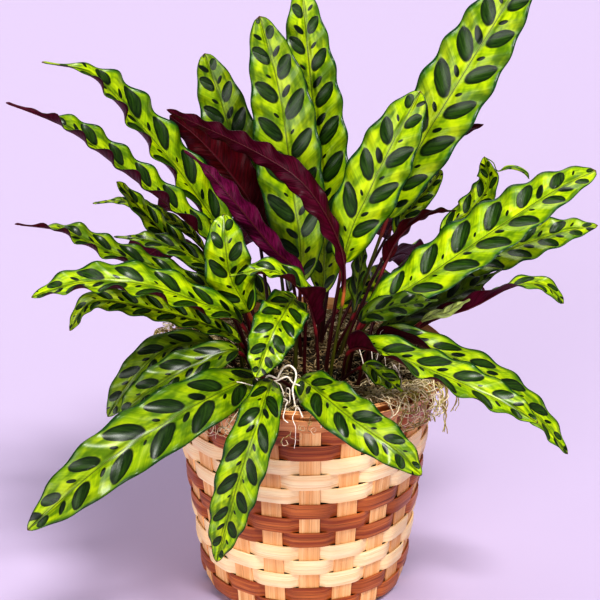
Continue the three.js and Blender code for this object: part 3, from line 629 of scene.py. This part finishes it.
def leaf(shape, index, name, numbers):
    half = numbers[0]
    face0, face1 = numbers[1:7].reshape(2, 3) / 10
    foot = np.array([*numbers[7:9], SOIL_TOP + 2])
    points = [foot - [0, 0, STEM_LEAD], foot, *numbers[9:].reshape(-1, 3)]
    rng = np.random.default_rng(100 + index)
    flat_fold = FOLDS.get(name, FOLD)
    cup, reach = CUPS.get(name, (0, 1))
    cut, cut_from, cut_to = tip_of(name)
    twist, twist_from = TWISTS.get(name, (0, 0))
    curl = CURLS.get(name, 0)
    tilt = TILTS.get(name, 0)
    rolled = ROLLED.get(name, 1)
    lively, period = LIVELY.get(name, (1, rng.uniform(1.16, 1.36) * (20 / half) ** 0.35))
    lively *= min(1, half / 16)
    tone = TONES.get(name, rng.uniform(0.3, 1))
    phase = rng.uniform(0, 1)

    start = STARTS.get(name, 2)
    last = len(points) - 1
    steps = max(50, int(even_settings(points, start, last, 2)[1] / BLADE_STEP))
    settings, length = even_settings(points, start, last, steps)
    t = np.linspace(-1, 1, ACROSS)
    t = np.sign(t) * np.abs(t) ** 0.9
    q = np.abs(t)
    sides = np.where(t > 0, SIDE_SHIFT, 0)
    thick = (0.5 - 0.26 * q**3)[:, None] / 2
    rings, marks, centres = [], [], []
    counts = np.arange(steps + 1) / steps * length / half / period + phase
    for i, setting in enumerate(settings):
        share = i / steps
        along = direction(points, setting)
        up = across(face0 + (face1 - face0) * share, along)
        side = np.cross(along, up)
        turn = twist * smooth(twist_from, 1, share) + tilt * (1 if side[1] > 0 else -1)
        up, side = up * cos(turn) - side * sin(turn), side * cos(turn) + up * sin(turn)
        centre = catmull(points, setting)
        wide = half * rolled * blade_width(share) * (1 - cut * smooth(cut_from, cut_to, share))
        wide = max(wide, TIP_HALF_WIDTH * 0.4 if i == steps else STEM_RADIUS * 0.7)
        full = wide / half
        fold = flat_fold + cup * (1 - smooth(0, reach, share))
        # The margins rise and fall with the ovals, each side by itself
        swell = FULL_TURN * (counts[i] + sides - VEIN_SLANT * full**VEIN_BEND)
        calm = smooth(0, 0.12, share) * (1 - smooth(0.95, 1, share))
        lift = lively * WAVE_LIFT * calm * np.cos(swell) * min(1, 1.1 * full) * q**1.5
        lobe = 1 + LOBES * lively * calm * np.cos(swell + 0.6)
        # Low swellings between the veins, the margin that curls up and the midrib's groove
        veins = counts[i] + sides - VEIN_SLANT * (q * full) ** VEIN_BEND
        puff = 0.05 * half * full * np.cos(FULL_TURN * veins) * np.sin(pi * q * 0.95)
        near = curl * (t * side[1] < 0) * q**3 * (0.68 + 0.32 * np.cos(swell))
        groove = -0.4 * full * np.exp(-(q / 0.07) ** 2)
        rise = q * wide * sin(fold) + lift + puff + groove + wide * near
        out = t * wide * lobe * cos(fold) * (1 - 0.15 * near)
        middle = centre + np.outer(out, side) + np.outer(rise, up)
        normal = unit(np.cross(np.gradient(middle, axis=0), along))
        rings.append(np.concatenate([middle + thick * normal, (middle - thick * normal)[::-1]]))
        marks.append((full, share))
        centres.append(centre - up * (0.42 + 0.7 * (1 - share)))
    around = np.concatenate([t, t[::-1], t[:1]])
    shape.sweep(rings, counts, around, tone, [0] * ACROSS + [1] * (ACROSS - 1) + [0], marks=marks)

    # The stalk runs on under the blade as its rib
    stem = [catmull(points, s) for s in even_settings(points, 1, start, STEM_STEPS)[0]]
    up = across(face0, direction(points, start))
    path = [foot - [0, 0, 9], foot - [0, 0, 4]]
    path += [c - up * 0.9 * (k / STEM_STEPS) ** 4 for k, c in enumerate(stem)]
    share = np.linspace(0, 1, len(path))
    path += centres[5::5]
    share = np.r_[share, 1 + np.linspace(0.05, 1, len(path) - len(share))]
    stem_tone = 0.95 if name == "turned_arched" else rng.uniform(0.1, 0.82)
    thin = 0.72 + 0.28 * min(1, half / 20)
    radius = np.interp(share, [0, 0.25, 0.85, 0.92, 1, 1.1, 2],
                       [1.7, 1.35, 1.15, 1.45, 1.2, 0.62, 0.14]) * thin
    shape.sweep(tube_rings(path, radius, 10), share, np.linspace(0, 1, 11), stem_tone, 2)


def curled_tip(shape):
    """The long curled end of leaf_right_6, a thread and then a narrow rolled blade."""
    line = [(117, 43, 279.6), (118.5, 43.6, 278.8), (123, 44, 275.7), (125.4, 44, 270.6),
            (127.7, 44, 270.2), (132.8, 44, 272.6), (139.3, 44, 271.8), (144.7, 44, 268.7),
            (146.9, 44, 264.6)]
    path = curve(np.array(line), 44)[0]
    share = np.linspace(0, 1, len(path))
    radius = np.interp(share, [0, 0.3, 0.42, 0.5, 0.7, 0.9, 1], [0.55, 0.5, 0.8, 2, 2.4, 1.9, 0.3])
    marks = np.stack([0.5 + 0 * share, 0.3 + 0.6 * share], -1)
    shape.sweep(tube_rings(path, radius, 12, 0.65), share * 4, np.linspace(-1, 1, 13), 0.4, marks=marks)


def leaves():
    shapes = {}
    for index, (name, numbers) in enumerate(rows(LEAVES)):
        leaf(shapes.setdefault(name, Shape()), index, name, numbers)
    curled_tip(shapes["right_6"])
    for name, shape in shapes.items():
        name = ("leaves_" if name.startswith("back") else "leaf_") + name
        slot = "leaf_purple" if "turned" in name else "leaf_green"
        shape.piece(name, [UPPER, UNDER, STALK], slot)


# Basket

def wall_radius(z):
    share = (z - WALL_FOOT[1]) / (WALL_TOP[1] - WALL_FOOT[1])
    return WALL_FOOT[0] + (WALL_TOP[0] - WALL_FOOT[0]) * share


def stake_angle(i):
    return -pi / 2 + STAKE_TURN + FULL_TURN * i / STAKES


def strip(row):
    """A strip that passes over and under the stakes in smooth waves."""
    shape = Shape()
    steps = STAKES * 14
    section = flat_section(0.5, 0.17)
    sign = 1 if row % 2 == 1 else -1
    # Its ends meet at the back, behind a stake
    first = STAKES // 2 + (STAKES // 2 + row) % 2
    turns = FULL_TURN * (np.arange(steps) / steps + first / STAKES)
    rings = []
    for turn in turns:
        wave = sign * cos(turn * STAKES / 2)
        offset = WEAVE_OFFSET * tanh(WEAVE_SHARPNESS * wave) / tanh(WEAVE_SHARPNESS)
        from_stake = (turn + pi / STAKES) % (FULL_TURN / STAKES) - pi / STAKES
        height = STRIP_HEIGHT * (1 + 0.02 * wobble(turn * 5, row))
        middle = FIRST_ROW + ROW_PITCH * row + 0.28 * wobble(turn * 3, row + 50)
        ring = []
        for up, out in section:
            z = middle + up * height
            bow = (0.45 + 0.35 * wave) * (1 - (2 * up) ** 2)
            ring.append((wall_radius(z) / cos(from_stake) + offset + bow + out * 0.9, z))
        rings.append(spin(stake_angle(0) + turn, ring))
    around = np.array([up for up, out in section + section[:1]]) * 1.06 + row * 1.7
    # The tone changes along a strip at random, and its crowns are paler with painted light, while it is
    # darker with painted shade where it dips under the stakes
    tones = 0.55 + 0.3 * wobble(np.arange(steps) * 0.21, row + 90)
    tones += 0.3 * sign * np.cos(turns * STAKES / 2)
    along = np.arange(steps + 1) / steps * 48
    shape.sweep(rings, along, around, np.clip(tones, 0, 1), closed=True)
    paint, slot = (DARK, "dark_chip") if ROWS[row] == "D" else (LIGHT, "light_chip")
    shape.piece(f"basket_strip_{row + 1}", [paint], slot, 40)


def flare_spot(distance, offset):
    """A point in the rim's section: how far up the flare, and how far out of the stakes."""
    start = np.array(WALL_TOP, float)
    along = unit(np.array(RIM_TOP, float) - start)
    out = np.array([along[1], -along[0]])
    return start + along * distance + out * offset


def flat_chip(shape, line, angle, width, thickness, tone, seed):
    """A flat chip along a line of (radius, height) in the plane at an angle."""
    line = np.asarray(line, float)
    tangents = unit(np.gradient(line, axis=0))
    out, side, up = np.array([(cos(angle), sin(angle), 0),
                              (-sin(angle), cos(angle), 0), (0, 0, 1)])
    steps = line_lengths(line)
    section = flat_section(1, 0.4)
    rings = []
    for (r, z), (tr, tz), d in zip(line, tangents, steps):
        w = width / 2 * (1 + 0.015 * wobble(d * 0.1, seed))
        slip = 0.25 * wobble(d * 0.06, seed + 7)
        normal = out * tz - up * tr
        rings.append([out * r + up * z + side * (a * w + slip) + normal * b * thickness / 2
                      for a, b in section])
    around = np.array([a for a, b in section] + [-1]) * width / 20
    shape.sweep(rings, steps / 10, around + seed * 1.3, tone)


def stakes():
    """The upright chips, and the bottom that they cross over."""
    shape = Shape()
    for i in range(STAKES):
        rng = np.random.default_rng(300 + i)
        line = [(56, 1.55), (60, 1.55), (63, 1.75), (65.6, 2.6), (66.8, 3.8)]
        for z in np.linspace(WALL_FOOT[1], WALL_TOP[1], 66):
            row = (z - FIRST_ROW) / ROW_PITCH
            bend = 0.12 * cos(pi * (row + i)) if 0 < row < len(ROWS) - 0.6 else 0
            line.append((wall_radius(z) - bend, z))
        line += [flare_spot(d, 0) for d in (3, 7, 11, 15, 17.2)]
        flat_chip(shape, line, stake_angle(i), STAKE_WIDTH, 0.95, rng.uniform(0.1, 1), i)
    # The bottom: chips that cross in the middle, each a little above the last
    for i in range(STAKES // 2):
        z = 0.28 + 0.1 * i
        line = [(r, z + 0.4 * smooth(50, 63, abs(r))) for r in np.linspace(-63, 63, 29)]
        flat_chip(shape, line, stake_angle(i), STAKE_WIDTH + 4, 0.5, 0.2 + 0.07 * i, i + 40)
    edge = ((50, 1.35), (63.8, 1.35), (64.9, 1.6), (64.9, 1.95), (63.8, 2.2), (50, 2.2))
    rings = [spin(angle, edge) for angle in even_angles(80)]
    shape.sweep(rings, np.arange(81) * 0.5, np.linspace(0, 3, 7), 0.6, closed=True)
    radii = (0.4, 20, 40, 52)
    lathe(shape, [(r, 1.4) for r in radii] + [(r, 2.15) for r in radii[::-1]], 48, 0.5)
    shape.piece("basket_stakes", [STAKE], "stake_chip", 40)


def hoop(shape, low, high, inner, outer, tone, seed, slant, lap=0):
    """A flat hoop in the rim. Its lower edge slants by lap at the front, where its end is."""
    steps = 200
    rings = []
    for k in range(steps):
        turn = FULL_TURN * (k / steps + 0.5)
        shift = slant * wobble(turn * 3, seed, 3) + 0.2 * wobble(turn * 11, seed + 3)
        top = high + 0.35 * wobble(turn * 5, seed + 21)
        bulge = 0.3 * cos(turn * STAKES) if inner > 0 else 0
        front = (turn + pi) % FULL_TURN - pi
        start = low + shift - lap * tanh(front / 0.25) * exp(-((front / 0.7) ** 2))
        half_way = (start + top) / 2
        ring = [flare_spot(d, out + bulge) for d, out in (
            (start, inner), (start, outer), (half_way, outer + 0.3), (top, outer), (top, inner),
            (half_way, inner))]
        rings.append(spin(stake_angle(0) + turn, ring))
    around = np.array([0, 0.1, 0.6, 1.1, 1.2, 1.7, 2.3]) + seed
    tones = np.clip(tone + 0.4 * wobble(np.arange(steps) * 0.2, seed + 5), 0, 1)
    shape.sweep(rings, np.arange(steps + 1) / steps * 55, around, tones, closed=True)


def rim():
    """Three layers of chip outside the flared stakes, and two inside."""
    shape = Shape()
    hoop(shape, -1.4, 9.6, 0.75, 1.8, 0.9, 11, 0.35)
    hoop(shape, 5.6, 17, 2.25, 3.1, 0.6, 12, 0.6, 2.6)
    hoop(shape, 12.6, 18.8, 3, 3.7, 0.5, 17, 1.2)
    hoop(shape, 4.8, 18.6, -2, -0.85, 0.5, 13, 0.3)
    hoop(shape, 10.5, 19, -3.1, -2.15, 0.6, 15, 0.8)
    shape.piece("basket_rim", [RIM], "light_chip", 40)


# Pot and what fills it

def lathe(shape, profile, segments, tone=0.5, ripple=None, first=0, closed=False, grain=(1, 20)):
    """A skin round the axis. From the first ring on, ripple lifts it at each x and y."""
    rings = []
    angles = even_angles(segments)
    for i, (r, z) in enumerate(profile):
        x, y = r * np.cos(angles), r * np.sin(angles)
        lift = ripple(x, y) if ripple and i >= first else 0 * x
        rings.append(np.stack([x, y, z + lift], -1))
    along = np.arange(len(profile) + closed) * grain[0]
    shape.sweep(rings, along, np.linspace(0, grain[1], segments + 1), tone, closed=closed)


def pot():
    shape = Shape()
    lathe(shape, [(1, 2.5), (54.5, 2.5), (56, 3.2), (58, 20), (75.2, 144.8), (78, 145.1), (78.5, 145.6),
                  (78.5, 148.5), (78.1, 149), (75.2, 149), (74.8, 148.6), (56.9, 20), (54.9, 4.2),
                  (53.5, 3.8), (1, 3.8)], 96)
    shape.piece("nursery_pot", [POT], "pot_plastic", 35)


def crumb(shape, rng, place, size, tone):
    corners = np.array([(x, y, z) for z in (-1, 1) for y in (-1, 1) for x in (-1, 1)], float)
    points = corners * rng.uniform(0.55, 1, (8, 1)) * size + 0.08 * size * rng.normal(size=(8, 3))
    a, b = rng.uniform(0, FULL_TURN), rng.uniform(-0.6, 0.6)
    turn = np.array([[cos(a), -sin(a), 0], [sin(a), cos(a), 0], [0, 0, 1]])
    lean = np.array([[1, 0, 0], [0, cos(b), -sin(b)], [0, sin(b), cos(b)]])
    points = points @ (turn @ lean).T + place
    faces = [[0, 2, 3, 1], [4, 5, 7, 6], [0, 1, 5, 4], [2, 6, 7, 3], [0, 4, 6, 2], [1, 3, 7, 5]]
    coords = points[np.ravel(faces), :2] * 0.05
    shape.add(points, faces, coords, np.full(8, tone), np.zeros((8, 2)), [0] * 6)


def soil_ripple(x, y):
    rough = 0.55 * wobble(x * 0.35, 21) + 0.55 * wobble(y * 0.4, 22)
    return rough + 0.4 * wobble((x + y) * 0.8, 23)


def soil():
    shape = Shape()
    rng = np.random.default_rng(7)
    profile = [(0.6, 4.3), (40, 4.3), (54.2, 4.3), (SOIL_RADIUS + 0.2, SOIL_TOP - 3)]
    profile += [(r, SOIL_TOP - 1) for r in np.linspace(SOIL_RADIUS, 0.6, 46)]
    lathe(shape, profile, 128, 0.2, soil_ripple, 4)
    for _ in range(1800):
        r = 56 * sqrt(rng.uniform())
        a = rng.uniform(0, FULL_TURN)
        size = rng.uniform(0.4, 1.4, 3) * np.array([1.2, 1, 0.5])
        z = SOIL_TOP - 0.7 + rng.uniform(-0.3, 0.5)
        crumb(shape, rng, spin(a, [(r, z)])[0], size, rng.uniform(0, 1))
    shape.piece("soil", [SOIL], "soil_earth", 30)


class Track:
    """A band round the plant that strands lie on, from a line of (radius, height)."""

    def __init__(self, line, low=0, high=FULL_TURN):
        self.line = np.array(line, float)
        self.lengths = line_lengths(self.line)
        self.end = self.lengths[-1]
        self.low = low
        self.high = high
        self.is_open = high - low < 6

    def section(self, s):
        return np.array([np.interp(s, self.lengths, part) for part in self.line.T])

    def place(self, s, angle, lift):
        tr, tz = unit(self.section(min(s + 1, self.end)) - self.section(max(s - 1, 0)))
        return spin(angle, [self.section(s) + lift * np.array([-tz, tr])])[0]


def fibre(shape, path, radius, length, sides, tone):
    """A tube along a path that gets thinner."""
    rings = tube_rings(path, np.linspace(radius, radius * 0.6, len(path)), sides)
    shape.sweep(rings, np.linspace(0, length / 10, len(path)), np.linspace(0, 1, sides + 1), tone)


def strand(shape, rng, track, length, radius, curl, tone, loft, steps=20):
    """A curled fibre that wanders over its track, with both of its ends tucked in."""
    angle = rng.uniform(track.low, track.high)
    if track.is_open:
        s = rng.uniform(0, track.end)
    else:
        radii = track.line[:, 0]
        s = np.interp(sqrt(rng.uniform(radii[0] ** 2, radii[-1] ** 2)), radii, track.lengths)
    heading = rng.uniform(0, FULL_TURN)
    rate = rng.normal(0, curl)
    lift = rng.uniform(0.2, 1) * loft
    swing = rng.uniform(0, FULL_TURN)
    step = length / steps
    path = []
    for k in range(steps):
        tuck = smooth(0, 3, k) * smooth(0, 3, steps - 1 - k)
        height = lift * (1 + 0.5 * sin(k * 0.75 + swing)) * tuck - 0.5 * (1 - tuck)
        path.append(track.place(s, angle, height))
        rate = np.clip(rate + rng.normal(0, curl * 0.45), -0.8, 0.8)
        heading += rate
        s += cos(heading) * step
        angle += sin(heading) * step / max(track.section(s)[0], 10)
        if not 0 < s < track.end:
            s = min(max(s, 0), track.end)
            heading = pi - heading
        if track.is_open and not track.low < angle < track.high:
            heading = -heading
    fibre(shape, path, radius, length, 3, tone)


def strands(shape, rng, track, count, tones, lengths, radii, curl, loft, olive=0):
    """Strands with tones of a mean and a spread; olive is the share that is olive."""
    for _ in range(count):
        is_olive = olive and rng.uniform() < olive
        tone = OLIVE_TONE if is_olive else np.clip(rng.normal(*tones), 0, 1)
        strand(shape, rng, track, rng.uniform(*lengths), rng.uniform(*radii), curl, tone, loft)


def moss_ripple(x, y):
    return 0.8 * wobble(x * 0.45, 31) + 0.8 * wobble(y * 0.5, 32)


def moss():
    """The bed of moss over the pot's lip, and the thinner moss round the stalks."""
    shape = Shape()
    rng = np.random.default_rng(11)
    mat = Track(MAT_LINE)
    profile = [(50.4, 146.4), (73, 146.4), (81.5, 149.6)]
    profile += [(r, np.interp(r, *mat.line.T) - 2) for r in np.linspace(81.5, 50.4, 18)]
    # The bed has tone nought, near black: dark brown moss, and painted shade in the gaps between the
    # strands
    lathe(shape, profile, 160, 0, moss_ripple, 3, True, (0.4, 40))
    strands(shape, rng, mat, 1250, (0.55, 0.35), (22, 60), (0.3, 0.62), 0.28, 2.6)
    shape.piece("moss", [MOSS], "moss_fibre")

    shape = Shape()
    strands(shape, rng, Track(CROWN_LINE), 480, (0.3, 0.32), (14, 40), (0.28, 0.6), 0.16, 3)
    shape.piece(None, [MOSS], "moss_fibre", name="moss_crown")


# Moss over the rim: from and to, in degrees, how many strands, the longest and the thickest
SPILLS = [(-60, -30, 150, 44, 0.5), (-104, -78, 22, 18, 0.3), (-128, -112, 40, 44, 0.5),
          (148, 172, 60, 44, 0.5)]
# Single strands of moss that hang from it, and pale roots that start in the moss or in the soil.
# Each line: radius and points.
FIBRES = """
0.5  80 -46 160  86 -50 164.5  88 -54 158  88.5 -55.5 147  88 -56 136  90 -57 130
0.5  76 -52 160  82 -56 164.5  84.5 -59 158  83 -60 152  79 -62 151  80 -62.5 157
0.5  84 -40 160  91 -43 164.5  94 -45 157  95 -46 147  93.5 -46 140
0.5  66 -64 160  71 -68 164.5  74 -70 158  74 -71 150  77 -72 146
0.5  -90 30 160  -95 31 165  -100 32 160  -101 32 152  -99 32 146
"""
ROOTS = """
0.6  -20 -48 148  -27 -58 166  -31.6 -66 176  -28.1 -72 172.6  -29.1 -74 170.3  -34.7 -76 172.4
  -40.6 -76 174
0.82  -26 -50 148  -24 -58 166  -21.7 -62 171.4  -16.5 -64 170.7  -14.9 -66 175  -12.5 -68 179.7
  -8.7 -70 182.1  -5.5 -72 179.4  -5.5 -74 174.4  -7.1 -77 169.8  -6.7 -81 165.7  -5.5 -86 162.5
  -3.5 -93.5 164.8  -1 -99 161.2
0.7  -24 -58 152  -20 -65 168  -17.3 -66 169.9  -11 -69 173.9  -7.9 -71 171.4  -1.7 -72 168.8  2 -70 160
  3 -66 153
0.65  -20 -60 153  -18.5 -65 168  -17.3 -66 169.2  -14.1 -70 167.5  -13 -74 164.2  -14 -76 158
0.55  -12 -66 154  -11 -70 166  -9.5 -74 168  -8.6 -78 165  -9.5 -82 162.5
0.6  -16 -70 154  -14.8 -78 163.7  -10.5 -81 163.5  -11.1 -86 162.4  -11.7 -93.5 164.6  -12.6 -99 161
  -9.5 -100.4 158.6
0.8  -6 -70 153  -4 -78 163  -0.9 -84 163.2  2.7 -87 163  9 -95.5 164
0.55  2.7 -87 163  5.9 -92 164.4  9.7 -99 161  10 -100.6 155
0.35  -5 -92 164  -6.9 -99 161  -5.5 -100.4 156  -5.4 -100.5 150  -5.9 -100.2 141.4
0.4  42 -36 152  37.5 -42 168  33.6 -40 183.3  35.6 -41 186.8  38.7 -42 188.1  41 -43 186.4
  41.5 -44 182.3  44 -42 152
0.24  47 -38 152  44.2 -41 166  46.6 -39 180  47.5 -38 189.4  49.2 -36 191.1
0.22  62.5 -40 153  59 -43 166  61.6 -41 179  61.4 -38 188.1
0.24  45 -40 152  50.5 -43 168  49.4 -42 180  52 -42 183.3  54.6 -42 184.2  59.3 -42 185.1
0.5  50 -52 153  51.6 -58 174.9  53.4 -62 171.5  53.7 -64 169  54 -60 153
0.5  56 -50 153  55 -58 176.3  57.4 -60 173.2  59.1 -64 169  60 -56 153
"""


def thread(shape, rng, line, radius, steps, rate, amount, sides, tone=None):
    """A hanging strand or root, a little off its line."""
    path, length = curve(line, steps)
    wander = [wobble(np.arange(len(path)) * rate, rng.integers(1e6)) for _ in range(3)]
    path += np.stack(wander, -1) * amount
    fibre(shape, path, radius, length, sides, rng.uniform(0, 1) if tone is None else tone)


def spill():
    """Moss that lies over the rim, its hanging strands, and the pale roots."""
    shape = Shape()
    rng = np.random.default_rng(19)
    for low, high, count, longest, thickest in SPILLS:
        track = Track(SPILL_LINE, radians(low), radians(high))
        strands(shape, rng, track, count, (0.85, 0.25), (0.4 * longest, longest),
                (0.5 * thickest, thickest), 0.19, 2.4, 0.22)
    for radius, line in rows(FIBRES):
        line = line.reshape(-1, 3)
        # Two more of its kind lie round each
        for tone, spread in ((0.5, 0.3), (OLIVE_TONE, 1), (OLIVE_TONE, 1)):
            moved = line + rng.normal(0, 1.1, line.shape) * spread
            thread(shape, rng, moved, float(radius), 28, 0.9, 0.6, 4, tone)
    shape.piece(None, [MOSS], "moss_fibre", name="moss_loose")

    shape = Shape()
    for radius, line in rows(ROOTS):
        thread(shape, rng, line.reshape(-1, 3), float(radius), 60, 0.4, 0.3, 8)
    shape.piece(None, [ROOT], "moss_fibre", name="roots_pale")


# Stage: a plain pale floor, soft lights and the camera

FLOOR_REACH = 6.0
IMAGE_PIXELS = 600
FOCAL_PIXELS = 1571
CAMERA_TARGET = Vector((-0.0027, 0.0, 0.197))
CAMERA_DISTANCE = 1.01
CAMERA_PITCH = radians(21.5)


def lamp(name, place, spread, power, tint):
    """A far soft light; its spread is in degrees."""
    data = bpy.data.lights.new(name, "SUN")
    data.angle = radians(spread)
    data.energy = power
    data.color = tint
    add_object(name, data, place, Vector((0, 0, 0.2)))


def stage():
    mesh = bpy.data.meshes.new("floor")
    corners = [(x * FLOOR_REACH, y * FLOOR_REACH, 0) for x, y in ((-1, -1), (1, -1), (1, 1), (-1, 1))]
    mesh.from_pydata(corners, [], [(0, 1, 2, 3)])
    floor = add_object("floor", mesh)
    paint = Paint("floor_paint", Specular_IOR_Level=0.2, Roughness=0.9)
    paint.put(paint.shader.inputs["Base Color"], (192, 176, 207))
    mesh.materials.append(paint.material)

    scene = bpy.context.scene
    world = bpy.data.worlds.new("studio")
    world.use_nodes = True
    background = world.node_tree.nodes["Background"]
    background.inputs["Color"].default_value = (0.98, 0.95, 1.0, 1)
    background.inputs["Strength"].default_value = 0.25
    scene.world = world

    lamp("key", (0.62, -0.9, 2.0), 16, 2.9, (1.0, 0.99, 0.96))
    lamp("low", (-0.8, -1.9, 0.6), 40, 2.1, (1.0, 0.98, 0.98))
    lamp("back", (-0.4, 1.4, 1.6), 40, 0.9, (1.0, 1.0, 1.0))

    view = bpy.data.cameras.new("camera")
    view.angle = 2 * atan(IMAGE_PIXELS / 2 / FOCAL_PIXELS)
    view.clip_start = 0.01
    back = Vector((0, -cos(CAMERA_PITCH), sin(CAMERA_PITCH)))
    place = CAMERA_TARGET + CAMERA_DISTANCE * back
    scene.camera = add_object("camera", view, place, CAMERA_TARGET)
    scene.view_settings.view_transform = "Standard"
    scene.view_settings.look = "Medium High Contrast"


leaves()
for number in range(len(ROWS)):
    strip(number)
stakes()
rim()
pot()
soil()
moss()
spill()
stage()
